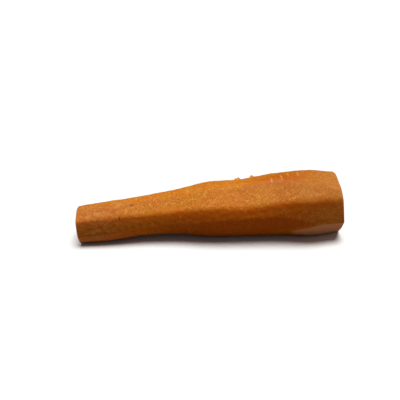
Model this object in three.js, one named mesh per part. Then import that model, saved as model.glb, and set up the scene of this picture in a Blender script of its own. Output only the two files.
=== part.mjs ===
// A peeled carrot with both ends cut off, lying on its side. Millimetres, +Z up.
// +X runs along the carrot, from the thin tip end to the thick crown end, and -Y is the side that faces the viewer.
// The origin is on the surface it lies on, under the middle of its bounding box.
// A root is one piece of flesh, so it is one solid: a round taper along a bent spine, cut flat by peeler strokes.
// A turn is an angle in degrees about the spine: 0 faces -Y, 90 faces up, 180 faces +Y and -90 faces down.
import * as THREE from "three";

const carrotLength = 160; // from cut end to cut end
const uncutSwell = 1.1; // the unpeeled root's radius, as a share of the peeled one

// One value every 20 mm, from the tip end to the crown end.
const peeledRadius = [10.9, 11.8, 11.9, 13.4, 16.2, 16.8, 18.3, 19.7, 18.5];
const spineSide = [-1.6, -0.8, 0.4, 0.8, 0.2, -0.8, -0.6, -2.0, -1.4];
const spineHeight = [10.6, 12.0, 13.9, 15.5, 16.7, 17.3, 18.6, 19.1, 18.5];
const frontRidgeTurn = [37, 33, 26, 22, 24, 23, 26, 32, 35];

// Strokes of the peeler over the whole length, in the order of the cuts. soft is the width in mm over which its
// ridges with the strokes before it are rounded. proud is how much further out than the others it cuts, as a share
// of the radius. wave sets the phases of its wander, and a stroke without one runs straight.
const longStrokes = [
  { turnAtTip: 55, turnAtCrown: 53, soft: 0.6, proud: -0.005, aboveFrontRidge: true },
  { turnAtTip: 11, turnAtCrown: 11, soft: 2.8, belowFrontRidge: true },
  { turnAtTip: 100, turnAtCrown: 104, soft: 3.0, wave: 0, proud: 0.02 },
  { turnAtTip: -24, turnAtCrown: -46, soft: 1.2, wave: 3, proud: 0.03 },
  { turnAtTip: -62, turnAtCrown: -70, soft: 1.0, wave: 4, proud: 0.08 },
  { turnAtTip: -90, turnAtCrown: -90, soft: 1.2 },
  { turnAtTip: -124, turnAtCrown: -122, soft: 1.4, wave: 6 },
  { turnAtTip: -152, turnAtCrown: -156, soft: 1.4, wave: 7 },
  { turnAtTip: 171, turnAtCrown: 167, soft: 1.6, wave: 8 },
  { turnAtTip: 134, turnAtCrown: 136, soft: 1.4, wave: 9, proud: 0.02 },
];

// Short strokes bite deepest at the distance at from the tip end, and are back out at the peeled radius half a reach
// either side of it. Past there they still take off the ridges, until they clear those too.
const shortStrokes = [
  { turn: -24, at: 102, reach: 26, bite: 0.2, soft: 1.5 },
  { turn: -22, at: 118, reach: 20, bite: 0.25, soft: 1.0 },
  { turn: -37, at: 172, reach: 80, bite: 1.0, soft: 0.4 },
  { turn: -47, at: 178, reach: 50, bite: 1.9, soft: 0.4 },
  { turn: 76, at: 164, reach: 60, bite: 1.3, soft: 0.9 },
  { turn: 64, at: -4, reach: 44, bite: 1.0, soft: 1.0 },
  { turn: 150, at: 48, reach: 62, bite: 0.8, soft: 0.8 },
  { turn: -138, at: 118, reach: 66, bite: 0.9, soft: 0.7 },
  { turn: -170, at: 160, reach: 56, bite: 1.0, soft: 0.7 },
];

// How far a long stroke wanders in and out of the flesh, in two waves along the length.
const wanderDepth = 0.22;
const wanderWaves = [
  { wavelength: 91, share: 1.0, phaseStep: 2.4 },
  { wavelength: 34, share: 0.55, phaseStep: 4.1 },
];

// The cut ends lean a little and have a worn rim. The core is sunk inside its ring, and is a share of the end's radius.
const tipCut = { lean: -0.06, slant: 0.07, core: 0.42 };
const crownCut = { lean: -0.1, slant: 0.02, core: 0.46 };
const leanReach = 26;
const rimRadius = 0.8;
const coreSink = 0.3;
const ringRise = 0.15;
const ringWidth = 0.05;

// How finely the solid is faceted.
const stepsAlong = 44;
const stepsAround = 84;
const rimSteps = 2;
const capShares = [0.86, 0.68, 0.54, 0.47, 0.41, 0.34, 0.18];

const radians = THREE.MathUtils.degToRad;
const stationGap = carrotLength / (peeledRadius.length - 1);

// A smooth curve through two rows of values, one value of each at every station, in its y and z.
function stationCurve(rowY, rowZ) {
  const points = rowY.map((y, i) => new THREE.Vector3(i * stationGap, y, rowZ[i]));
  return new THREE.CatmullRomCurve3(points, false, "catmullrom", 0.5);
}

const spine = stationCurve(spineSide, spineHeight);
const girth = stationCurve(peeledRadius, frontRidgeTurn);

// The smaller of two distances, with the corner between them rounded off over the width soft.
function softMin(a, b, soft) {
  const overlap = Math.max(soft - Math.abs(a - b), 0);
  return Math.min(a, b) - (overlap * overlap) / (4 * soft);
}

// The distance from the spine, towards turn, of a flat cut that faces strokeTurn at the distance depth.
function flatCut(depth, turn, strokeTurn) {
  const facing = Math.cos(radians(turn - strokeTurn));
  return facing > 0.2 ? depth / facing : Infinity;
}

// How far the stroke whose wave is number has wandered outwards at the distance u from the tip end.
function wander(u, number) {
  const waves = wanderWaves.map(
    (wave) => wave.share * Math.sin((2 * Math.PI * u) / wave.wavelength + wave.phaseStep * number),
  );
  return wanderDepth * waves.reduce((sum, wave) => sum + wave, 0);
}

// Where the long strokes cut at the distance u: one { turn, depth, soft } for each.
function longCuts(u) {
  const { y: radius, z: ridgeTurn } = girth.getPoint(u / carrotLength);
  const turns = longStrokes.map((stroke) =>
    THREE.MathUtils.lerp(stroke.turnAtTip, stroke.turnAtCrown, u / carrotLength),
  );
  // The stroke below the front ridge is as deep as it takes to meet the one above it on that ridge.
  const above = longStrokes.findIndex((stroke) => stroke.aboveFrontRidge);
  const ridgeRadius = radius / Math.cos(radians(turns[above] - ridgeTurn));
  return longStrokes.map((stroke, i) => {
    let depth = radius * (1 + (stroke.proud ?? 0));
    if (stroke.belowFrontRidge) depth = ridgeRadius * Math.cos(radians(ridgeTurn - turns[i]));
    if (stroke.wave !== undefined) depth += wander(u, stroke.wave);
    return { turn: turns[i], depth, soft: stroke.soft };
  });
}

// The peeled surface's distance from the spine, at the distance u and towards turn.
function fleshRadius(u, turn, cuts) {
  const radius = girth.getPoint(u / carrotLength).y;
  let reached = radius * uncutSwell;
  for (const cut of cuts) reached = softMin(reached, flatCut(cut.depth, turn, cut.turn), cut.soft);
  for (const stroke of shortStrokes) {
    const away = (2 * (u - stroke.at)) / stroke.reach;
    const depth = radius - stroke.bite * (1 - away * away);
    reached = softMin(reached, flatCut(depth, turn, stroke.turn), stroke.soft);
  }
  return reached;
}

// How much of an end's lean a ring takes at the distance away from that end.
function leanShare(away) {
  return 1 - THREE.MathUtils.smoothstep(away, 0, leanReach);
}

// One ring of points round the spine. inset draws it in at a rim.
function ringAt(u, inset) {
  const centre = spine.getPoint(u / carrotLength);
  const cuts = longCuts(u);
  const tipShare = leanShare(u);
  const crownShare = leanShare(carrotLength - u);
  return Array.from({ length: stepsAround }, (_, i) => {
    const turn = (360 * i) / stepsAround;
    const reached = fleshRadius(u, turn, cuts) - inset;
    const side = -reached * Math.cos(radians(turn));
    const rise = reached * Math.sin(radians(turn));
    const lean =
      tipShare * (tipCut.lean * rise + tipCut.slant * side) +
      crownShare * (crownCut.lean * rise + crownCut.slant * side);
    return new THREE.Vector3(u + lean, centre.y + side, centre.z + rise);
  });
}

// The rings from the tip end to the crown end. The first and last ones run round each rim in a quarter circle.
function fleshRings() {
  const rings = [];
  for (let i = 0; i <= rimSteps; i++) {
    const angle = (Math.PI / 2) * (i / rimSteps);
    rings.push(ringAt(rimRadius * (1 - Math.cos(angle)), rimRadius * (1 - Math.sin(angle))));
  }
  const plainLength = carrotLength - 2 * rimRadius;
  for (let i = 1; i < stepsAlong; i++) rings.push(ringAt(rimRadius + (plainLength * i) / stepsAlong, 0));
  for (let i = rimSteps; i >= 0; i--) {
    const angle = (Math.PI / 2) * (i / rimSteps);
    rings.push(ringAt(carrotLength - rimRadius * (1 - Math.cos(angle)), rimRadius * (1 - Math.sin(angle))));
  }
  return rings;
}

// How far a cut end stands out at a share of its radius: the ring round the core rises, and the core sinks.
function endRelief(share, cut) {
  const ring = ringRise * Math.exp(-(((share - cut.core) / ringWidth) ** 2));
  return ring - coreSink * (1 - THREE.MathUtils.smoothstep(share, cut.core - 2 * ringWidth, cut.core));
}

// Ever smaller rings that close a cut end, and its middle point. outward is 1 at the crown end and -1 at the tip end.
function capRings(rim, cut, outward) {
  const middle = rim.reduce((sum, point) => sum.add(point), new THREE.Vector3()).divideScalar(rim.length);
  const rings = capShares.map((share) =>
    rim.map((point) => {
      const inner = middle.clone().lerp(point, share);
      inner.x += outward * endRelief(share, cut);
      return inner;
    }),
  );
  const centre = middle.clone();
  centre.x += outward * endRelief(0, cut);
  return { rings, centre };
}

// One closed geometry: a cap, the flesh and the other cap, joined ring to ring. Nothing reaches below the surface
// that the carrot lies on, which leaves the flat spots that it rests on.
function carrotGeometry() {
  const flesh = fleshRings();
  const tip = capRings(flesh[0], tipCut, -1);
  const crown = capRings(flesh[flesh.length - 1], crownCut, 1);
  const rings = [...tip.rings.reverse(), ...flesh, ...crown.rings];
  const points = [tip.centre, ...rings.flat(), crown.centre];
  for (const point of points) point.z = Math.max(point.z, 0);

  const faces = [];
  const at = (ring, i) => 1 + ring * stepsAround + (i % stepsAround);
  const last = rings.length - 1;
  for (let i = 0; i < stepsAround; i++) {
    faces.push(0, at(0, i), at(0, i + 1));
    for (let ring = 0; ring < last; ring++) {
      faces.push(at(ring, i), at(ring + 1, i), at(ring + 1, i + 1));
      faces.push(at(ring, i), at(ring + 1, i + 1), at(ring, i + 1));
    }
    faces.push(at(last, i), points.length - 1, at(last, i + 1));
  }

  const geometry = new THREE.BufferGeometry().setFromPoints(points);
  geometry.setIndex(faces);
  geometry.computeBoundingBox();
  const middle = geometry.boundingBox.getCenter(new THREE.Vector3());
  geometry.translate(-middle.x, -middle.y, -geometry.boundingBox.min.z);
  geometry.computeVertexNormals();
  return geometry;
}

function carrotMesh() {
  const flesh = new THREE.MeshStandardMaterial({ color: 0xd5782a, roughness: 0.45, metalness: 0 });
  const mesh = new THREE.Mesh(carrotGeometry(), flesh);
  mesh.name = "carrot";
  return mesh;
}

const carrot = new THREE.Group();
carrot.add(carrotMesh());

export default carrot;
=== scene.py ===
# A peeled carrot with both ends cut off, lying on a pale floor under soft light from above. The flesh repeats
# the solid model's formula on a finer grid, and adds what a peeler and a knife leave on it.
import math

import bpy
import numpy as np
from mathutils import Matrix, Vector


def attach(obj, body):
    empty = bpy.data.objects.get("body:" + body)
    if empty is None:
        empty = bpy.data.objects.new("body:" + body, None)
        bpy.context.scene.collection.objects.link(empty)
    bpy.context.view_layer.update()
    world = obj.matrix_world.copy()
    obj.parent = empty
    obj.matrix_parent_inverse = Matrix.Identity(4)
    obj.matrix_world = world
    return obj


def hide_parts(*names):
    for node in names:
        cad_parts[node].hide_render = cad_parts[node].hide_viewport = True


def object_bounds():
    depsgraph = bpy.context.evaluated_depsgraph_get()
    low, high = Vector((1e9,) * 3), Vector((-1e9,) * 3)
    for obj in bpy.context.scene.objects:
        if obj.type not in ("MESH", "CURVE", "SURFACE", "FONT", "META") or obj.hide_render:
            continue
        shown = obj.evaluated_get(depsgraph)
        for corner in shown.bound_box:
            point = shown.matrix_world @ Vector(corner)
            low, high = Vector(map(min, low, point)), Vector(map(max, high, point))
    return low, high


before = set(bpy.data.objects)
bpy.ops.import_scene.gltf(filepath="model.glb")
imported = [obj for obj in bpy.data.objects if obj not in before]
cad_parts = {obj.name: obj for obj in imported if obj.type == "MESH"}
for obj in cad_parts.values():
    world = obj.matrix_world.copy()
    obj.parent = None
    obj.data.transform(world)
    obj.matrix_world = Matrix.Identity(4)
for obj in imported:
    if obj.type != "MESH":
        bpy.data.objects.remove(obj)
cadLow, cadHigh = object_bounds()
mm = 0.001  # shapes are worked out in millimetres
scene = bpy.context.scene

# The root, with one value every 20 mm from the tip end to the crown end in each row.
# A turn is an angle in degrees about the spine: 0 faces the viewer, 90 faces up, -90 faces down.
root = {
    "length": 160.0,
    "uncutSwell": 1.1,
    "peeledRadius": [10.9, 11.8, 11.9, 13.4, 16.2, 16.8, 18.3, 19.7, 18.5],
    "spineSide": [-1.6, -0.8, 0.4, 0.8, 0.2, -0.8, -0.6, -2.0, -1.4],
    "spineHeight": [10.6, 12.0, 13.9, 15.5, 16.7, 17.3, 18.6, 19.1, 18.5],
    "frontRidgeTurn": [37, 33, 26, 22, 24, 23, 26, 32, 35],
    "gridAround": 240,
    "gridAlong": 316,
}

# Waves of a stroke in and out of the flesh: wavelength and height in mm, and phase step from wave to wave.
# The slow ones are the wander of the hand, and the quick ones are the chatter of the blade.
strokeWaves = {
    "slow": [(91, 0.22, 2.4), (34, 0.121, 4.1)],
    "quick": [(14.3, 0.075, 1.9), (8.9, 0.05, 3.3)],
}

# Strokes over the whole length, in the order of the cuts. soft is the width over which its ridges are rounded,
# proud is how much further out it cuts as a share of the radius, wave sets the phases of its waves, and ripples
# are waves of its own. Dryness and tone are one number, or one every 20 mm. Dryness is of its flesh up to 1,
# and above 1 it lays a pale painted sheen, a painted reflection. The tone is partly the flesh's own and partly
# painted light and shade, raised on the lowest facets at the tip and crown as painted light from below.
longStrokes = [
    {
        "turnAtTip": 55, "turnAtCrown": 53, "soft": 0.6, "aboveFrontRidge": True, "proud": -0.005,
        "ripples": [(20, 0.095, -1.02), (48, 0.12, -1.99)],
        "drynessAndSheen": [0.82, 0.95, 1.0, 1.0, 1.0, 1.0, 1.0, 1.0, 1.0],
        "toneAndPaintedLight": [0.87, 0.98, 1.0, 1.02, 1.05, 1.01, 0.95, 0.90, 0.85],
    },
    {
        "turnAtTip": 11, "turnAtCrown": 11, "soft": 2.8, "belowFrontRidge": True,
        "drynessAndSheen": [0.65, 0.6, 0.5, 0.4, 0.35, 0.35, 0.4, 0.5, 0.5],
        "toneAndPaintedLight": [0.79, 0.81, 0.89, 0.92, 0.97, 1.01, 0.93, 0.77, 0.73],
    },
    {
        "turnAtTip": 100, "turnAtCrown": 104, "soft": 3.0, "wave": 0, "proud": 0.02, "drynessAndSheen": 0.95,
        "toneAndPaintedLight": [0.92, 0.98, 1.0, 1.0, 1.0, 0.98, 0.88, 0.84, 0.83],
    },
    # The lowest facet at the tip: its dryness above 1 lays a painted sheen there, and its raised tone is
    # painted light from below.
    {
        "turnAtTip": -24, "turnAtCrown": -46, "soft": 1.2, "wave": 3, "proud": 0.03,
        "drynessAndSheen": [1.2, 1.15, 0.9, 0.6, 0.5, 0.5, 0.5, 0.5, 0.5],
        "toneAndPaintedLight": [1.45, 1.4, 1.3, 1.1, 1.0, 1.0, 1.0, 1.0, 1.0],
    },
    {
        "turnAtTip": -62, "turnAtCrown": -70, "soft": 1.0, "wave": 4, "proud": 0.08,
        "drynessAndSheen": 0.5, "toneAndPaintedLight": 1.0,
    },
    {"turnAtTip": -90, "turnAtCrown": -90, "soft": 1.2, "drynessAndSheen": 0.4, "toneAndPaintedLight": 1.0},
    {"turnAtTip": -124, "turnAtCrown": -122, "soft": 1.4, "wave": 6, "drynessAndSheen": 0.6, "toneAndPaintedLight": 1.0},
    {"turnAtTip": -152, "turnAtCrown": -156, "soft": 1.4, "wave": 7, "drynessAndSheen": 0.9, "toneAndPaintedLight": 1.0},
    {"turnAtTip": 171, "turnAtCrown": 167, "soft": 1.6, "wave": 8, "drynessAndSheen": 0.6, "toneAndPaintedLight": 0.95},
    {
        "turnAtTip": 134, "turnAtCrown": 136, "soft": 1.4, "wave": 9, "proud": 0.02,
        "drynessAndSheen": 0.9, "toneAndPaintedLight": 1.0,
    },
]
toneBlend = 0.25  # the distance in mm over which the dryness and tone of two strokes run into each other

# Short strokes bite deepest at the distance at from the tip end, and are back out half a reach either side.
shortStrokes = [
    {"turn": -24, "at": 102, "reach": 26, "bite": 0.2, "soft": 1.5, "drynessAndSheen": 0.35, "toneAndPaintedLight": 1.1},
    {"turn": -22, "at": 118, "reach": 20, "bite": 0.25, "soft": 1.0, "drynessAndSheen": 0.35, "toneAndPaintedLight": 1.1},
    # The two lowest facets at the crown: dryness 1.6 lays a painted sheen and tone 1.3 is painted light from
    # below.
    {"turn": -37, "at": 172, "reach": 80, "bite": 1.0, "soft": 0.4, "drynessAndSheen": 1.6, "toneAndPaintedLight": 1.3},
    {"turn": -47, "at": 178, "reach": 50, "bite": 1.9, "soft": 0.4, "drynessAndSheen": 1.6, "toneAndPaintedLight": 1.3},
    {"turn": 76, "at": 164, "reach": 60, "bite": 1.3, "soft": 0.9, "drynessAndSheen": 1.0, "toneAndPaintedLight": 0.85},
    {"turn": 64, "at": -4, "reach": 44, "bite": 1.0, "soft": 1.0, "drynessAndSheen": 0.8, "toneAndPaintedLight": 0.93},
    {"turn": 150, "at": 48, "reach": 62, "bite": 0.8, "soft": 0.8, "drynessAndSheen": 0.8, "toneAndPaintedLight": 1.0},
    {"turn": -138, "at": 118, "reach": 66, "bite": 0.9, "soft": 0.7, "drynessAndSheen": 0.7, "toneAndPaintedLight": 1.05},
    {"turn": -170, "at": 160, "reach": 56, "bite": 1.0, "soft": 0.7, "drynessAndSheen": 0.5, "toneAndPaintedLight": 0.95},
]

# Moist patches: distance from the tip end, turn, half length and half width in mm, share of the dryness left.
moistPatches = [
    (121.0, 79, 20.0, 4.4, 0.4),
    (125.0, 92, 17.0, 6.5, 0.35),
    (14.0, 62, 7.0, 3.0, 0.75),
    (8.0, 31, 16.0, 2.6, 0.55),
    (34.0, 24, 16.0, 2.4, 0.55),
    (64.0, 20, 22.0, 2.8, 0.2),
    (98.0, 20, 22.0, 3.0, 0.3),
    (128.0, 25, 16.0, 3.0, 0.3),
    (147.0, 28, 9.0, 3.0, 0.4),
    (62.0, -165, 16.0, 5.0, 0.4),
    (112.0, 150, 14.0, 4.5, 0.4),
]

# The cut ends. The core is a share of the end's radius, sunk inside a raised ring.
cutEnds = {
    "tip": {"lean": -0.06, "slant": 0.07, "core": 0.42, "outward": -1, "seed": 11},
    "crown": {"lean": -0.1, "slant": 0.02, "core": 0.46, "outward": 1, "seed": 12},
    "leanReach": 26.0,
    "rimRadius": 0.8,
    "rimSteps": 5,
    "coreSink": 0.3,
    "ringRise": 0.15,
    "ringWidth": 0.05,
    "rings": 26,
    "coreLobes": 0.022,  # how far the core's edge waves in and out, as a share of the end's radius
    "plainRim": 0.15,  # the share of the radius over which the relief rises from nothing at the rim
    "fibreCount": 34,
    "fibreDepth": 0.05,
    "fibreStart": 0.3,  # the share of the radius within which the fibres fade out
    "knifeDepth": 0.05,
    "knifeSpacing": 3.1,
    "knifeSlant": 0.3,
}

# Small unevenness of the peeled flesh, in mm. It rises from nothing over the edge width, and the rim's paler
# colour, a painted highlight, reaches as far in as the rim width.
relief = {
    "peelDepth": 0.08,
    "peelLength": 3.6,
    "peelSeed": 3,
    "grainDepth": 0.05,
    "grainLength": 1.6,
    "grainSeed": 5,
    "edgeWidth": 3.0,
    "rimHighlightWidth": 1.4,
}

# Dents where a rootlet or an eye was: distance from the tip end, turn, depth, half length, half width.
# A depth below 0 stands out: a lump, or a flake that the peeler left.
dents = [
    (32.5, 64, 0.45, 1.6, 1.1),
    (25.2, 30, 0.25, 0.5, 1.4),
    (21.0, 50, 0.15, 2.2, 0.7),
    (13.2, 62, 0.14, 2.0, 0.6),
    (12.4, 54, -0.16, 2.2, 1.3),
    (95.0, 62, 0.12, 3.0, 1.2),
    (130.8, 74, 0.16, 1.5, 0.5),
    (96.9, 116, -1.2, 0.8, 0.6),
    (98.6, 116, -1.6, 0.8, 0.6),
    (106.3, 115, -1.4, 0.7, 0.6),
    (107.3, 116, -0.9, 0.6, 0.6),
    (61.0, 160, 0.4, 1.4, 1.0),
    (118.0, -150, 0.35, 1.2, 1.6),
    (84.0, -172, 0.25, 0.8, 1.8),
]


# A smooth curve through equally spaced values: between two of them it is the cubic whose slope at each
# value is half the step from the value before to the value after.
def stationCurve(values, u):
    v = np.asarray(values, float)
    v = np.concatenate([[2 * v[0] - v[1]], v, [2 * v[-1] - v[-2]]])
    steps = len(values) - 1
    s = np.clip(u / root["length"] * steps, 0, steps)
    i = np.minimum(s.astype(int), steps - 1)
    t = s - i
    a, b, c, d = v[i], v[i + 1], v[i + 2], v[i + 3]
    return 0.5 * (2 * b + (c - a) * t + (2 * a - 5 * b + 4 * c - d) * t**2 + (3 * b - a - 3 * c + d) * t**3)


# A quality of a stroke's flesh: a row of values becomes a smooth curve along the length.
def quality(value, u):
    return stationCurve(value, u) if isinstance(value, list) else value


# The step from 0 to 1 as t goes from 0 to 1: t * t * (3 - 2t).
def smoothStep(t):
    t = np.clip(t, 0, 1)
    return t * t * (3 - 2 * t)


# The smaller of two distances, less a parabola where they come within soft of each other.
def softMin(a, b, soft):
    overlap = np.maximum(soft - np.abs(a - b), 0)
    return np.minimum(a, b) - overlap * overlap / (4 * soft)


# A flat cut at right angles to strokeTurn, at the distance depth: depth over the cosine of the angle to it.
# Where that cosine is small the flat is far out, and it cuts nothing.
def flatCut(depth, turn, strokeTurn):
    smallest, farOut = 0.2, 1e6
    facing = np.cos(np.radians(turn - strokeTurn))
    return np.where(facing > smallest, depth / np.maximum(facing, smallest), farOut)


# A sum of sine waves along the length, each with its phase step times number as its phase.
def waveSum(waves, u, number):
    return sum(height * np.sin(2 * np.pi * u / size + step * number) for size, height, step in waves)


# The bearing of a long stroke at the distance u, in a straight line from its turn at the tip end to its turn
# at the crown end.
def strokeBearing(stroke, u):
    return stroke["turnAtTip"] + (stroke["turnAtCrown"] - stroke["turnAtTip"]) * u / root["length"]


# The radius at u, and every stroke's flat there as (distance from the spine, softness, dryness, tone). The
# stroke below the front ridge is as deep as it takes to meet the one above it on that ridge, and the other
# long ones are a radius deep. A short one is deeper by its bite, less the bite times the square of the
# distance along over half its reach.
def allCuts(u, turn):
    radius = stationCurve(root["peeledRadius"], u)
    ridgeTurn = stationCurve(root["frontRidgeTurn"], u)
    above = next(stroke for stroke in longStrokes if "aboveFrontRidge" in stroke)
    ridgeRadius = radius / np.cos(np.radians(strokeBearing(above, u) - ridgeTurn))
    cuts = []
    for stroke in longStrokes:
        bearing = strokeBearing(stroke, u)
        depth = radius * (1 + stroke.get("proud", 0))
        if "belowFrontRidge" in stroke:
            depth = ridgeRadius * np.cos(np.radians(ridgeTurn - bearing))
        if "wave" in stroke:
            depth = depth + waveSum(strokeWaves["slow"] + strokeWaves["quick"], u, stroke["wave"])
        if "ripples" in stroke:
            depth = depth + waveSum(stroke["ripples"], u, 1)
        cuts.append((flatCut(depth, turn, bearing), stroke))
    for stroke in shortStrokes:
        depth = radius - stroke["bite"] * (1 - (2 * (u - stroke["at"]) / stroke["reach"]) ** 2)
        cuts.append((flatCut(depth, turn, stroke["turn"]), stroke))
    return radius, [(cut, s["soft"], quality(s["drynessAndSheen"], u), quality(s["toneAndPaintedLight"], u)) for cut, s in cuts]


# The peeled surface's distance from the spine, its dryness and its tone. The unpeeled round is cut by each
# stroke's flat in turn, and a point takes the dryness and tone of the strokes that cut nearest to it.
def fleshRadius(u, turn):
    radius, cuts = allCuts(u, turn)
    reached = radius * root["uncutSwell"] + 0 * turn
    for cut, soft, drynessAndSheen, toneAndPaintedLight in cuts:
        reached = softMin(reached, cut, soft)
    drySum = toneAndLightSum = weight = 1e-9
    for cut, soft, drynessAndSheen, toneAndPaintedLight in cuts:
        nearness = np.exp(-np.maximum(cut - reached, 0) / toneBlend)
        drySum = drySum + drynessAndSheen * nearness
        toneAndLightSum = toneAndLightSum + toneAndPaintedLight * nearness
        weight = weight + nearness
    drynessAndSheen = drySum / weight
    for at, patchTurn, halfLength, halfWidth, left in moistPatches:
        drynessAndSheen = drynessAndSheen * (1 - (1 - left) * bell(u, turn, radius, at, patchTurn, halfLength, halfWidth))
    return reached, drynessAndSheen, toneAndLightSum / weight


# A bell over the flesh: 1 at its middle, falling as e to the minus square of the distance over its half size,
# along the length and around the root.
def bell(u, turn, radius, at, bellTurn, halfLength, halfWidth):
    apart = np.radians((turn - bellTurn + 180) % 360 - 180) * radius
    return np.exp(-(((u - at) / halfLength) ** 2) - (apart / halfWidth) ** 2)


# The sum of all dents, each a bell times its depth.
def dentDepth(u, turn, radius):
    return sum(deep * bell(u, turn, radius, at, dentTurn, *size) for at, dentTurn, deep, *size in dents)


# A random smooth field over points: the sum of many plane waves of about one length, each in its own
# seeded direction and phase, times the root of two over their number, so that its spread is 1.
def waveField(points, waveLength, seed):
    draw = np.random.default_rng(seed)
    count = 36
    directions = draw.normal(size=(count, 3))
    directions /= np.linalg.norm(directions, axis=1)[:, None]
    numbers = 2 * np.pi / (waveLength * draw.uniform(0.75, 1.35, count))
    phases = draw.uniform(0, 2 * np.pi, count)
    field = sum(np.cos(points @ (d * n) + p) for d, n, p in zip(directions, numbers, phases))
    return field * math.sqrt(2 / count)


# Points of the peeled side for rows u and columns turn: round the spine at the reached radius, with rows
# near an end leaning along the length in step with their height and side.
def roundSpine(u, turn, reached):
    side = -reached * np.cos(np.radians(turn))
    rise = reached * np.sin(np.radians(turn))
    lean = 0
    for cut, away in ((cutEnds["tip"], u), (cutEnds["crown"], root["length"] - u)):
        share = 1 - smoothStep(away / cutEnds["leanReach"])
        lean = lean + share * (cut["lean"] * rise + cut["slant"] * side)
    y = stationCurve(root["spineSide"], u) + side
    z = stationCurve(root["spineHeight"], u) + rise
    return np.stack([u + lean, y, z], axis=-1)


# Rows along the side: a quarter circle of rim at each end, with equal steps between. Each row has its
# distance from the tip end and how far the rim draws it in.
def sideRows():
    rim, steps = cutEnds["rimRadius"], cutEnds["rimSteps"]
    angle = np.linspace(0, np.pi / 2, steps + 1)
    into = rim * (1 - np.cos(angle))
    inset = rim * (1 - np.sin(angle))
    plain = np.linspace(rim, root["length"] - rim, root["gridAlong"] + 1)[1:-1]
    u = np.concatenate([into, plain, root["length"] - into[::-1]])
    return u[:, None], np.concatenate([inset, 0 * plain, inset[::-1]])[:, None]


# Side points, without and with the small unevenness, and the dryness and tone of each. The unevenness goes
# inwards from the smooth side, apart from lumps and flakes. The last value is 1 at a rim and 0 a rim width away
# from it: it lays the rim's painted highlight.
def sideSurface():
    u, inset = sideRows()
    turn = np.arange(root["gridAround"])[None, :] * 360 / root["gridAround"]
    reached, drynessAndSheen, toneAndPaintedLight = fleshRadius(u, turn)
    smooth = roundSpine(u, turn, reached - inset)
    peelWaves = waveField(smooth, relief["peelLength"], relief["peelSeed"])
    peel = relief["peelDepth"] * (1 - peelWaves) / 2
    grainWaves = waveField(smooth, relief["grainLength"], relief["grainSeed"])
    grain = relief["grainDepth"] * drynessAndSheen * (1 - grainWaves) / 2
    away = np.minimum(u, root["length"] - u)
    edge = smoothStep(away / relief["edgeWidth"])
    uneven = edge * (np.maximum(peel, 0) + np.maximum(grain, 0)) + dentDepth(u, turn, reached)
    # the rim value marks where the paler rim colour lays a painted highlight
    rim = 1 - smoothStep(away / relief["rimHighlightWidth"]) + 0 * turn
    return smooth, roundSpine(u, turn, reached - inset - uneven), drynessAndSheen, toneAndPaintedLight, rim


# How far a cut end stands out at a share of its radius: a bell-shaped ring round the core, and a core that
# is sunk by a smooth step inside it.
def endRelief(share, core):
    width = cutEnds["ringWidth"]
    ring = cutEnds["ringRise"] * np.exp(-(((share - core) / width) ** 2))
    return ring - cutEnds["coreSink"] * (1 - smoothStep((share - core + 2 * width) / (2 * width)))


# Ever smaller copies of a rim, shrunk towards its middle. They are moved along the length by the ring and
# the core, by fine fibres that run out from the core, and by the ripples of the knife. It gives those rings,
# the middle point, each point's share of the radius, and how far it lies past the core's edge, as a share.
def capSurface(rim, cut):
    outward = cut["outward"]
    share = np.linspace(1, 0, cutEnds["rings"] + 1)[1:-1, None]
    middle = rim.mean(axis=0)
    rings = middle + (rim - middle) * share[..., None]
    angle = np.arctan2(rim[:, 2] - middle[2], rim[:, 1] - middle[1])[None, :]
    phases = np.random.default_rng(cut["seed"]).uniform(0, 2 * np.pi, 3)
    lobes = cutEnds["coreLobes"] * (np.sin(5 * angle + phases[0]) + 0.6 * np.sin(8 * angle + phases[1]))
    bend = 2 * np.sin(7 * angle + phases[2])
    fibres = np.sin(cutEnds["fibreCount"] * angle + bend + phases[1])
    across = rings[..., 2] + cutEnds["knifeSlant"] * rings[..., 1]
    knife = np.sin(2 * np.pi * across / cutEnds["knifeSpacing"] + phases[0])
    inner = smoothStep((1 - share) / cutEnds["plainRim"])
    lobed = share - lobes * inner
    out = endRelief(lobed, cut["core"])
    fibreShare = inner * smoothStep(share / cutEnds["fibreStart"])
    out = out - cutEnds["fibreDepth"] * fibreShare * (1 + fibres) / 2
    out = out - cutEnds["knifeDepth"] * inner * (1 + knife) / 2
    rings[..., 0] += outward * out
    centre = middle + [outward * out[-1].mean(), 0, 0]
    return rings, centre, share + 0 * angle, lobed - cut["core"]


# Puts a point attribute with one number for each vertex on a mesh.
def addAttribute(mesh, name, values):
    attribute = mesh.attributes.new(name, "FLOAT", "POINT")
    attribute.data.foreach_set("value", np.ravel(values).astype(np.float32))


# The faces that join rings of points, each ring to the next, and the first and last ones to a middle point.
# The middle points are the first and the last of all.
def ringFaces(count, around):
    ring = np.arange(count - 1)[:, None]
    k = np.arange(around)
    nextK = (k + 1) % around
    a, b = 1 + ring * around + k, 1 + ring * around + nextK
    quads = np.stack([a, a + around, b + around, b], -1).reshape(-1, 4)
    last = 1 + (count - 1) * around
    tipFan = np.stack([0 * k, 1 + k, 1 + nextK], -1)
    crownFan = np.stack([0 * k + last + around, last + nextK, last + k], -1)
    return quads.tolist() + tipFan.tolist() + crownFan.tolist()


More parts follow.
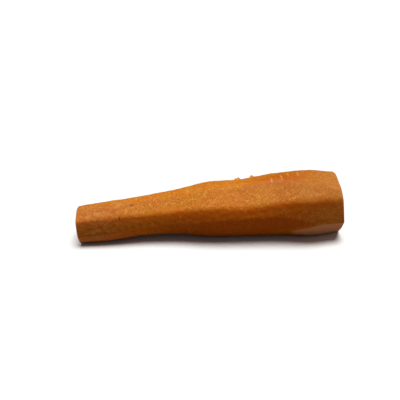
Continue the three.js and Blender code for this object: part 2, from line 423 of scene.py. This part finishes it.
# One closed mesh: rings of points from the tip end's middle to the crown end's, joined ring to ring, with
# the side's faces in the first material and the cut ends' in the second. It gives the carrot, the middles of
# its ends in metres, and how far the shape was moved in mm.
def makeCarrot():
    smooth, side, drynessAndSheen, toneAndPaintedLight, rim = sideSurface()
    tipRings, tipCentre, tipShare, tipPastCore = capSurface(side[0], cutEnds["tip"])
    crownRings, crownCentre, crownShare, crownPastCore = capSurface(side[-1], cutEnds["crown"])
    rings = np.concatenate([tipRings[::-1], side, crownRings])
    points = np.concatenate([tipCentre[None], rings.reshape(-1, 3), crownCentre[None]])

    # the smooth side gives the place, as the solid's middle is on the middle of the frame's box
    flat = smooth.reshape(-1, 3)
    middle = (np.array(cadLow) + np.array(cadHigh)) / 2 / mm
    shift = middle - (flat.min(axis=0) + flat.max(axis=0)) / 2
    shift[2] = 0
    points = np.clip((points + shift) * mm, np.array(cadLow), np.array(cadHigh))

    around = root["gridAround"]
    mesh = bpy.data.meshes.new("carrotFlesh")
    mesh.from_pydata(points.tolist(), [], ringFaces(len(rings), around))
    capFaces = (cutEnds["rings"] - 1) * around
    quadCount = (len(rings) - 1) * around
    isCut = np.ones(len(mesh.polygons), np.int32)
    isCut[capFaces:quadCount - capFaces] = 0
    mesh.polygons.foreach_set("material_index", isCut)
    mesh.shade_smooth()

    ends = np.ones(tipShare.size + 1)
    # dryness above 1 lays a painted sheen, the tone is partly painted light and shade, and rim marks where a
    # painted highlight lies
    addAttribute(mesh, "drynessAndSheen", np.concatenate([ends, drynessAndSheen.ravel(), ends]))
    addAttribute(mesh, "toneAndPaintedLight", np.concatenate([ends, toneAndPaintedLight.ravel(), ends]))
    addAttribute(mesh, "rim", np.concatenate([ends, rim.ravel(), ends]))
    shares = [[0], tipShare[::-1].ravel(), np.ones(drynessAndSheen.size), crownShare.ravel(), [0]]
    addAttribute(mesh, "share", np.concatenate(shares))
    pastCore = [[-0.5], tipPastCore[::-1].ravel(), np.full(drynessAndSheen.size, 0.5), crownPastCore.ravel(), [-0.5]]
    addAttribute(mesh, "pastCore", np.concatenate(pastCore))
    carrot = bpy.data.objects.new("carrotFlesh", mesh)
    scene.collection.objects.link(carrot)
    print("carrot:", len(mesh.vertices), "points,", len(mesh.polygons), "faces")
    return carrot, [(tipCentre + shift) * mm, (crownCentre + shift) * mm], shift


carrot, endMiddles, shift = makeCarrot()


# The place in metres of a spot on the peeled side.
def spotOnSide(u, turn):
    u, turn = np.array([[u]], float), np.array([[turn]], float)
    return Vector(((roundSpine(u, turn, fleshRadius(u, turn)[0])[0, 0] + shift) * mm).tolist())


# Adds a node. A socket among the inputs is linked, and anything else is set.
def addNode(tree, kind, inputs=None, **settings):
    node = tree.nodes.new("ShaderNode" + kind)
    for name, value in settings.items():
        setattr(node, name, value)
    for name, value in (inputs or {}).items():
        if isinstance(value, bpy.types.NodeSocket):
            tree.links.new(value, node.inputs[name])
        else:
            node.inputs[name].default_value = value
    return node


# One sum of numbers.
def calculate(tree, operation, a, b=0.0, c=0.0):
    return addNode(tree, "Math", {0: a, 1: b, 2: c}, operation=operation).outputs[0]


# One sum of vectors, or the length of one.
def vectorMath(tree, operation, a, b=(0, 0, 0)):
    node = addNode(tree, "VectorMath", {0: a, 1: b}, operation=operation)
    return node.outputs["Value"] if operation == "LENGTH" else node.outputs["Vector"]


# The first colour at a factor of 0 and the second at 1.
def mixColours(tree, factor, a, b):
    return addNode(tree, "Mix", {0: factor, 6: a, 7: b}, data_type="RGBA").outputs[2]


# Goes smoothly from start to end while the value goes from low to high.
def ramp(tree, value, low, high, start=0.0, end=1.0):
    inputs = {"Value": value, "From Min": low, "From Max": high, "To Min": start, "To Max": end}
    return addNode(tree, "MapRange", inputs, interpolation_type="SMOOTHSTEP").outputs["Result"]


# A node group with named inputs and outputs. An input is (name, kind of socket, value).
def newGroup(name, inputs, outputs):
    tree = bpy.data.node_groups.new(name, "ShaderNodeTree")
    for label, kind, value in inputs:
        socket = tree.interface.new_socket(label, in_out="INPUT", socket_type="NodeSocket" + kind)
        if kind != "Vector":
            socket.default_value = value
    for label in outputs:
        tree.interface.new_socket(label, in_out="OUTPUT", socket_type="NodeSocketFloat")
    return tree, tree.nodes.new("NodeGroupInput").outputs, tree.nodes.new("NodeGroupOutput").inputs


# Puts a node group in a tree and gives its outputs.
def useGroup(tree, group, inputs):
    node = tree.nodes.new("ShaderNodeGroup")
    node.node_tree = group
    for name, value in inputs.items():
        if isinstance(value, bpy.types.NodeSocket):
            tree.links.new(value, node.inputs[name])
        else:
            node.inputs[name].default_value = value
    return node.outputs


# The grain of the flesh. Strands are short worm-like lines: where one noise is near its middle value and a
# second, broader one is high. Size is how far apart they lie in metres. Flecks are where a third, finer noise
# is low, and the patches are seven times as broad as the size.
def makeGrainGroup():
    inputs = [("Vector", "Vector", None), ("Size", "Float", 0.0013)]
    tree, given, out = newGroup("fleshGrain", inputs, ["Strands", "Flecks", "Patches"])
    scale = calculate(tree, "DIVIDE", 1.0, given["Size"])
    lines = addNode(tree, "TexNoise", {"Vector": given["Vector"], "Scale": scale, "Detail": 1.0})
    off = calculate(tree, "ABSOLUTE", calculate(tree, "SUBTRACT", lines.outputs["Fac"], 0.5))
    onLine = ramp(tree, off, 0.0, 0.09, 1.0, 0.0)
    elsewhere = vectorMath(tree, "ADD", given["Vector"], (0.31, 0.17, 0.23))
    half = calculate(tree, "MULTIPLY", scale, 0.55)
    breaks = addNode(tree, "TexNoise", {"Vector": elsewhere, "Scale": half, "Detail": 1.0})
    kept = ramp(tree, breaks.outputs["Fac"], 0.3, 0.62)
    tree.links.new(calculate(tree, "MULTIPLY", onLine, kept), out["Strands"])
    twice = calculate(tree, "MULTIPLY", scale, 1.6)
    fine = addNode(tree, "TexNoise", {"Vector": elsewhere, "Scale": twice, "Detail": 2.0})
    tree.links.new(ramp(tree, fine.outputs["Fac"], 0.32, 0.5, 1.0, 0.0), out["Flecks"])
    broad = calculate(tree, "DIVIDE", scale, 7.0)
    patches = addNode(tree, "TexNoise", {"Vector": given["Vector"], "Scale": broad, "Detail": 2.0})
    tree.links.new(ramp(tree, patches.outputs["Fac"], 0.35, 0.65), out["Patches"])
    return tree


# Pores across the root: thin discs at right angles to its length, of which the skin shows short dashes.
def makePoreGroup():
    inputs = [("Vector", "Vector", None), ("Spacing", "Float", 0.009), ("Thinness", "Float", 5.0)]
    tree, given, out = newGroup("crossPores", inputs + [("Share", "Float", 0.035)], ["Dashes"])
    parts = addNode(tree, "SeparateXYZ", {"Vector": given["Vector"]}).outputs
    along = calculate(tree, "MULTIPLY", parts["X"], given["Thinness"])
    place = addNode(tree, "CombineXYZ", {"X": along, "Y": parts["Y"], "Z": parts["Z"]}).outputs["Vector"]
    scale = calculate(tree, "DIVIDE", 1.0, given["Spacing"])
    cells = addNode(tree, "TexVoronoi", {"Vector": place, "Scale": scale}, feature="F1")
    disc = ramp(tree, cells.outputs["Distance"], 0.1, 0.24, 1.0, 0.0)
    chance = addNode(tree, "SeparateColor", {"Color": cells.outputs["Color"]}).outputs["Red"]
    chosen = calculate(tree, "LESS_THAN", chance, given["Share"])
    tree.links.new(calculate(tree, "MULTIPLY", disc, chosen), out["Dashes"])
    return tree


# One mark: 1 inside an ellipsoid at a place, fading smoothly to 0 at its surface.
def makeMarkGroup():
    inputs = [("Vector", "Vector", None), ("Place", "Vector", None), ("Half Size", "Vector", None)]
    tree, given, out = newGroup("mark", inputs, ["Mask"])
    away = vectorMath(tree, "SUBTRACT", given["Vector"], given["Place"])
    distance = vectorMath(tree, "LENGTH", vectorMath(tree, "DIVIDE", away, given["Half Size"]))
    tree.links.new(ramp(tree, distance, 0.4, 1.0, 1.0, 0.0), out["Mask"])
    return tree


grainGroup = makeGrainGroup()
poreGroup = makePoreGroup()
markGroup = makeMarkGroup()

# The peeled flesh. Colours are linear, and a share is how much of a colour is mixed in at the most.
flesh = {
    "moist": (0.60, 0.12, 0.0, 1),
    "red": (0.585, 0.16, 0.0, 1),
    "yellow": (0.62, 0.195, 0.0, 1),
    "strand": (0.87, 0.385, 0.085, 1),
    "fleck": (0.47, 0.11, 0.0, 1),
    # the pale colour below is a painted sheen, a painted reflection on the lowest facets
    "paintedSheen": (0.95, 0.60, 0.43, 1),
    "endDry": (0.62, 0.36, 0.20, 1),
    # the rim colour below is a painted highlight along each end's edge
    "rim": (0.95, 0.42, 0.16, 1),
    "size": 0.00115,
    "driftScale": 60.0,
    "moistShowing": 0.22,
    "fleckShare": 0.6,
    "strandShare": 0.9,
    "poreShare": 0.5,
    "paintedSheenShare": 0.6,
    "crownDryShare": 0.1,
    "crownDryReach": (0.04, 0.081),
    "tipDryShare": 0.06,
    "tipDryReach": (-0.075, -0.035),
    "rimHighlightShare": 0.32,
    "bump": 0.00009,
    "roughness": (0.44, 0.54),
    "gloss": 0.2,
    "glow": 0.35,
    "glowDepth": 0.003,
}

# How far red, green and blue light go into the flesh, as shares of the glow's depth, and how it bends light.
lightReach = (1.0, 0.3, 0.08)
fleshIor = 1.4

# Marks on the flesh: colour, how strongly it shows, and for each mark the distance from the tip end, the turn
# and the half sizes in mm along X, Y and Z. They are pale pores, dark pits, brown dents, flakes and pale spots.
marks = [
    {
        "colour": (0.84, 0.46, 0.13, 1),
        "strength": 0.7,
        "spots": [
            (117.0, 77, (0.5, 3.3, 3.3)),
            (123.2, 83, (0.5, 4.4, 4.4)),
            (127.8, 95, (0.5, 3.6, 3.6)),
            (133.5, 93, (0.5, 4.2, 4.2)),
            (61.5, 14, (0.4, 1.2, 1.2)),
            (38.0, 96, (0.4, 1.0, 1.0)),
        ],
    },
    {
        "colour": (0.12, 0.035, 0.01, 1),
        "strength": 0.9,
        "spots": [(25.2, 30, (0.5, 1.8, 1.8)), (61.0, 160, (1.0, 1.0, 1.0))],
    },
    {
        "colour": (0.30, 0.10, 0.02, 1),
        "strength": 0.6,
        "spots": [(32.5, 64, (1.8, 1.1, 1.1)), (13.2, 62, (1.4, 0.7, 0.7)), (21.3, 50, (2.6, 0.7, 0.7))],
    },
    {
        "colour": (0.74, 0.34, 0.09, 1),
        "strength": 0.6,
        "spots": [(97.8, 116, (1.7, 2.0, 2.0)), (106.7, 115, (1.4, 1.8, 1.8))],
    },
    {
        "colour": (0.80, 0.40, 0.12, 1),
        "strength": 0.35,
        "spots": [(12.4, 54, (3.0, 2.0, 2.0)), (7.6, 50, (2.0, 1.6, 1.6)), (24.0, 70, (2.4, 1.8, 1.8))],
    },
]


# Light that goes into the flesh and comes out near by.
def setGlow(shader, finish):
    shader.inputs["Subsurface Weight"].default_value = finish["glow"]
    shader.inputs["Subsurface Radius"].default_value = lightReach
    shader.inputs["Subsurface Scale"].default_value = finish["glowDepth"]
    shader.inputs["IOR"].default_value = fleshIor


# A point attribute's value at the surface.
def readAttribute(tree, name):
    return addNode(tree, "Attribute", attribute_name=name).outputs["Fac"]


# The colour that the marks are laid over, with each group of marks mixed in by its strength.
def layMarks(tree, place, colour):
    for kind in marks:
        for at, turn, halfSizes in kind["spots"]:
            size = tuple(half * mm for half in halfSizes)
            inputs = {"Vector": place, "Place": spotOnSide(at, turn), "Half Size": size}
            mark = useGroup(tree, markGroup, inputs)
            factor = calculate(tree, "MULTIPLY", mark["Mask"], kind["strength"])
            colour = mixColours(tree, factor, colour, kind["colour"])
    return colour


# The peeled flesh: orange that drifts between red and yellow, redder and smoother where it is moist, with
# flecks, strands, pores, the marks, a pale painted sheen (a painted reflection) where the dryness runs above 1,
# drier ends and a paler rim that is a painted highlight. The tone, partly painted light and shade, multiplies
# it all.
def makeFleshMaterial():
    material = bpy.data.materials.new("peeledFlesh")
    material.use_nodes = True
    tree = material.node_tree
    shader = tree.nodes["Principled BSDF"]
    place = addNode(tree, "TexCoord").outputs["Object"]
    drynessAndSheen = readAttribute(tree, "drynessAndSheen")
    along = addNode(tree, "SeparateXYZ", {"Vector": place}).outputs["X"]
    grain = useGroup(tree, grainGroup, {"Vector": place, "Size": flesh["size"]})
    pores = useGroup(tree, poreGroup, {"Vector": place})["Dashes"]

    # broad drifts between redder and yellower flesh, and redder still where it is moist
    drift = addNode(tree, "TexNoise", {"Vector": place, "Scale": flesh["driftScale"], "Detail": 2.0})
    colour = mixColours(tree, ramp(tree, drift.outputs["Fac"], 0.35, 0.65), flesh["red"], flesh["yellow"])
    colour = mixColours(tree, ramp(tree, drynessAndSheen, 0.0, 0.9), flesh["moist"], colour)

    # dark flecks, and pale strands that show most in the dry patches
    contrast = ramp(tree, grain["Patches"], 0.0, 1.0, 0.7, 1.0)
    showing = calculate(tree, "MULTIPLY", ramp(tree, drynessAndSheen, 0.0, 1.0, flesh["moistShowing"], 1.0), contrast)
    flecks = calculate(tree, "MULTIPLY", grain["Flecks"], showing)
    strands = calculate(tree, "MULTIPLY", grain["Strands"], showing)
    layers = [
        (flecks, "fleckShare", "fleck"),
        (strands, "strandShare", "strand"),
        (pores, "poreShare", "strand"),
    ]
    for mask, share, name in layers:
        factor = calculate(tree, "MULTIPLY", mask, flesh[share])
        colour = mixColours(tree, factor, colour, flesh[name])
    colour = layMarks(tree, place, colour)

    # a pale painted sheen, a painted reflection, where the dryness runs above 1 on the lowest facets, and drier
    # flesh at the ends, most at the crown's
    colour = mixColours(tree, ramp(tree, drynessAndSheen, 1.0, 1.6, 0.0, flesh["paintedSheenShare"]), colour, flesh["paintedSheen"])
    atCrown = ramp(tree, along, *flesh["crownDryReach"], 0.0, flesh["crownDryShare"])
    atCrown = calculate(tree, "MULTIPLY", atCrown, ramp(tree, drynessAndSheen, 0.2, 0.8, 0.2, 1.0))
    atTip = ramp(tree, along, *flesh["tipDryReach"], flesh["tipDryShare"], 0.0)
    colour = mixColours(tree, calculate(tree, "ADD", atCrown, atTip), colour, flesh["endDry"])
    # a paler rim along each end: a painted highlight
    atRim = calculate(tree, "MULTIPLY", readAttribute(tree, "rim"), flesh["rimHighlightShare"])
    colour = mixColours(tree, atRim, colour, flesh["rim"])
    # the tone multiplies it all: partly the flesh's own tone, partly painted light and shade
    colour = vectorMath(tree, "MULTIPLY", colour, readAttribute(tree, "toneAndPaintedLight"))
    tree.links.new(colour, shader.inputs["Base Color"])

    smooth, dull = flesh["roughness"]
    wet = calculate(tree, "ADD", grain["Patches"], drynessAndSheen)
    tree.links.new(ramp(tree, wet, 0.0, 2.0, smooth, dull), shader.inputs["Roughness"])
    height = calculate(tree, "SUBTRACT", grain["Strands"], grain["Flecks"])
    height = calculate(tree, "MULTIPLY", height, showing)
    bump = addNode(tree, "Bump", {"Height": height, "Distance": flesh["bump"], "Strength": 1.0})
    tree.links.new(bump.outputs["Normal"], shader.inputs["Normal"])
    setGlow(shader, flesh)
    shader.inputs["Specular IOR Level"].default_value = flesh["gloss"]
    return material


# The cut ends.
cutFlesh = {
    "bark": (0.66, 0.17, 0.006, 1),
    "core": (0.76, 0.265, 0.022, 1),
    "ring": (0.88, 0.38, 0.06, 1),
    "heart": (0.64, 0.19, 0.01, 1),
    # the rim colour below is a painted highlight along the cut's edge
    "rim": (0.82, 0.31, 0.05, 1),
    "dry": (0.74, 0.29, 0.07, 1),
    "size": 0.0009,
    "rayShare": 0.45,
    "ringShare": 0.6,
    "heartShare": 0.6,
    "fleckShare": 0.3,
    "rimHighlightShare": 0.8,
    "bump": 0.00015,
    "roughness": (0.5, 0.68),
    "glow": 0.25,
    "glowDepth": 0.0025,
}


# The cut ends: a paler core with a darker heart, a pale ring round it, rays that run outwards, and a paler rim
# that is a painted highlight along the cut's edge.
def makeCutMaterial():
    material = bpy.data.materials.new("cutFlesh")
    material.use_nodes = True
    tree = material.node_tree
    shader = tree.nodes["Principled BSDF"]
    place = addNode(tree, "TexCoord").outputs["Object"]
    share = readAttribute(tree, "share")
    pastCore = readAttribute(tree, "pastCore")
    grain = useGroup(tree, grainGroup, {"Vector": place, "Size": cutFlesh["size"]})

    # rays: noise read on a circle round the end's middle, so that it runs out from the core
    tip, crown = endMiddles
    parts = addNode(tree, "SeparateXYZ", {"Vector": place}).outputs
    isCrown = calculate(tree, "GREATER_THAN", parts["X"], 0.0)
    middleY = calculate(tree, "MULTIPLY_ADD", isCrown, float(crown[1] - tip[1]), float(tip[1]))
    middleZ = calculate(tree, "MULTIPLY_ADD", isCrown, float(crown[2] - tip[2]), float(tip[2]))
    y = calculate(tree, "SUBTRACT", parts["Y"], middleY)
    z = calculate(tree, "SUBTRACT", parts["Z"], middleZ)
    spoke = addNode(tree, "CombineXYZ", {"Y": y, "Z": z}).outputs["Vector"]
    outwards = vectorMath(tree, "MULTIPLY", spoke, (0, 40, 40))
    circle = vectorMath(tree, "ADD", vectorMath(tree, "NORMALIZE", spoke), outwards)
    rays = addNode(tree, "TexNoise", {"Vector": circle, "Scale": 11.0, "Detail": 3.0, "Roughness": 0.6})
    onRay = ramp(tree, rays.outputs["Fac"], 0.45, 0.75, 0.0, cutFlesh["rayShare"])

    # the core, its ring and its heart, from how far a point lies past the core's edge and from the middle
    inCore = ramp(tree, pastCore, -0.04, 0.02, 1.0, 0.0)
    ringRises = ramp(tree, pastCore, -0.06, 0.0)
    ringFalls = ramp(tree, pastCore, 0.0, 0.09, cutFlesh["ringShare"], 0.0)
    onRing = calculate(tree, "MULTIPLY", ringRises, ringFalls)
    inHeart = ramp(tree, share, 0.03, 0.16, cutFlesh["heartShare"], 0.0)
    onFleck = calculate(tree, "MULTIPLY", grain["Flecks"], cutFlesh["fleckShare"])
    # a paler rim: a painted highlight along the cut's edge
    atRim = ramp(tree, share, 0.93, 1.0, 0.0, cutFlesh["rimHighlightShare"])
    colour = mixColours(tree, inCore, cutFlesh["bark"], cutFlesh["core"])
    layers = ((onRay, "ring"), (onRing, "ring"), (inHeart, "heart"), (onFleck, "dry"), (atRim, "rim"))
    for factor, name in layers:
        colour = mixColours(tree, factor, colour, cutFlesh[name])
    tree.links.new(colour, shader.inputs["Base Color"])

    smooth, dull = cutFlesh["roughness"]
    tree.links.new(ramp(tree, grain["Patches"], 0.0, 1.0, smooth, dull), shader.inputs["Roughness"])
    height = calculate(tree, "MULTIPLY_ADD", grain["Strands"], 0.33, rays.outputs["Fac"])
    bump = addNode(tree, "Bump", {"Height": height, "Distance": cutFlesh["bump"], "Strength": 1.0})
    tree.links.new(bump.outputs["Normal"], shader.inputs["Normal"])
    setGlow(shader, cutFlesh)
    return material


carrot.data.materials.append(makeFleshMaterial())
carrot.data.materials.append(makeCutMaterial())
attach(carrot, "root")
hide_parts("carrot")
print("materials: peeled flesh and cut ends")

# The studio. The camera looks at a point above the floor from the photograph's side and height.
studio = {
    "lens": 50.0,
    "azimuth": -5.0,
    "elevation": 30.0,
    "distance": 0.344,
    "target": (0.0, 0.0, 0.015),
    "shift": (-0.0263, 0.0308),
    "lightWidth": 36.0,
    "lightFrom": (0.08, 0.0, 1.0),
    "lightStrength": 3.3,
    "skyStrength": 0.1,
    "floorPale": (0.93, 0.925, 0.915, 1),
    "floorReturned": (0.21, 0.13, 0.075, 1),
    "floorHalfWidth": 12.0,
}


# The camera, back from its target along the line of its azimuth and elevation.
def makeCamera():
    azimuth, elevation = math.radians(studio["azimuth"]), math.radians(studio["elevation"])
    level = math.cos(elevation)
    back = Vector((math.sin(azimuth) * level, -math.cos(azimuth) * level, math.sin(elevation)))
    data = bpy.data.cameras.new("camera")
    data.lens = studio["lens"]
    data.shift_x, data.shift_y = studio["shift"]
    data.clip_start = 0.01
    camera = bpy.data.objects.new("camera", data)
    scene.collection.objects.link(camera)
    camera.location = Vector(studio["target"]) + back * studio["distance"]
    camera.rotation_mode = "QUATERNION"
    camera.rotation_quaternion = (-back).to_track_quat("-Z", "Y")
    scene.camera = camera


# A wide soft light from above.
def makeLight():
    data = bpy.data.lights.new("overheadLight", "SUN")
    data.energy = studio["lightStrength"]
    data.angle = math.radians(studio["lightWidth"])
    light = bpy.data.objects.new("overheadLight", data)
    light.location = studio["lightFrom"]
    light.rotation_mode = "QUATERNION"
    light.rotation_quaternion = (-Vector(studio["lightFrom"])).to_track_quat("-Z", "Y")
    scene.collection.objects.link(light)


# The sky gives little light, and shows as pale as the floor past its edge.
def makeSky():
    world = bpy.data.worlds.new("studio")
    scene.world = world
    world.use_nodes = True
    tree = world.node_tree
    seen = addNode(tree, "LightPath").outputs["Is Camera Ray"]
    strength = calculate(tree, "MAXIMUM", seen, studio["skyStrength"])
    tree.links.new(strength, tree.nodes["Background"].inputs["Strength"])
    tree.nodes["Background"].inputs["Color"].default_value = (1, 1, 1, 1)


# A pale floor that throws less light back up than it shows, and warmer light. In the photograph the flesh
# gets little light from below, and what it gets is orange.
def makeFloor():
    half = studio["floorHalfWidth"]
    mesh = bpy.data.meshes.new("floor")
    corners = [(-half, -half, 0), (half, -half, 0), (half, half, 0), (-half, half, 0)]
    mesh.from_pydata(corners, [], [(0, 1, 2, 3)])
    floor = bpy.data.objects.new("floor", mesh)
    scene.collection.objects.link(floor)
    material = bpy.data.materials.new("paleFloor")
    material.use_nodes = True
    tree = material.node_tree
    shader = tree.nodes["Principled BSDF"]
    seen = addNode(tree, "LightPath").outputs["Is Camera Ray"]
    colour = mixColours(tree, seen, studio["floorReturned"], studio["floorPale"])
    tree.links.new(colour, shader.inputs["Base Color"])
    shader.inputs["Roughness"].default_value = 0.9
    shader.inputs["Specular IOR Level"].default_value = 0.1
    mesh.materials.append(material)


makeCamera()
makeLight()
makeSky()
makeFloor()
scene.view_settings.view_transform = "Standard"
print("studio: camera, light, sky and floor")
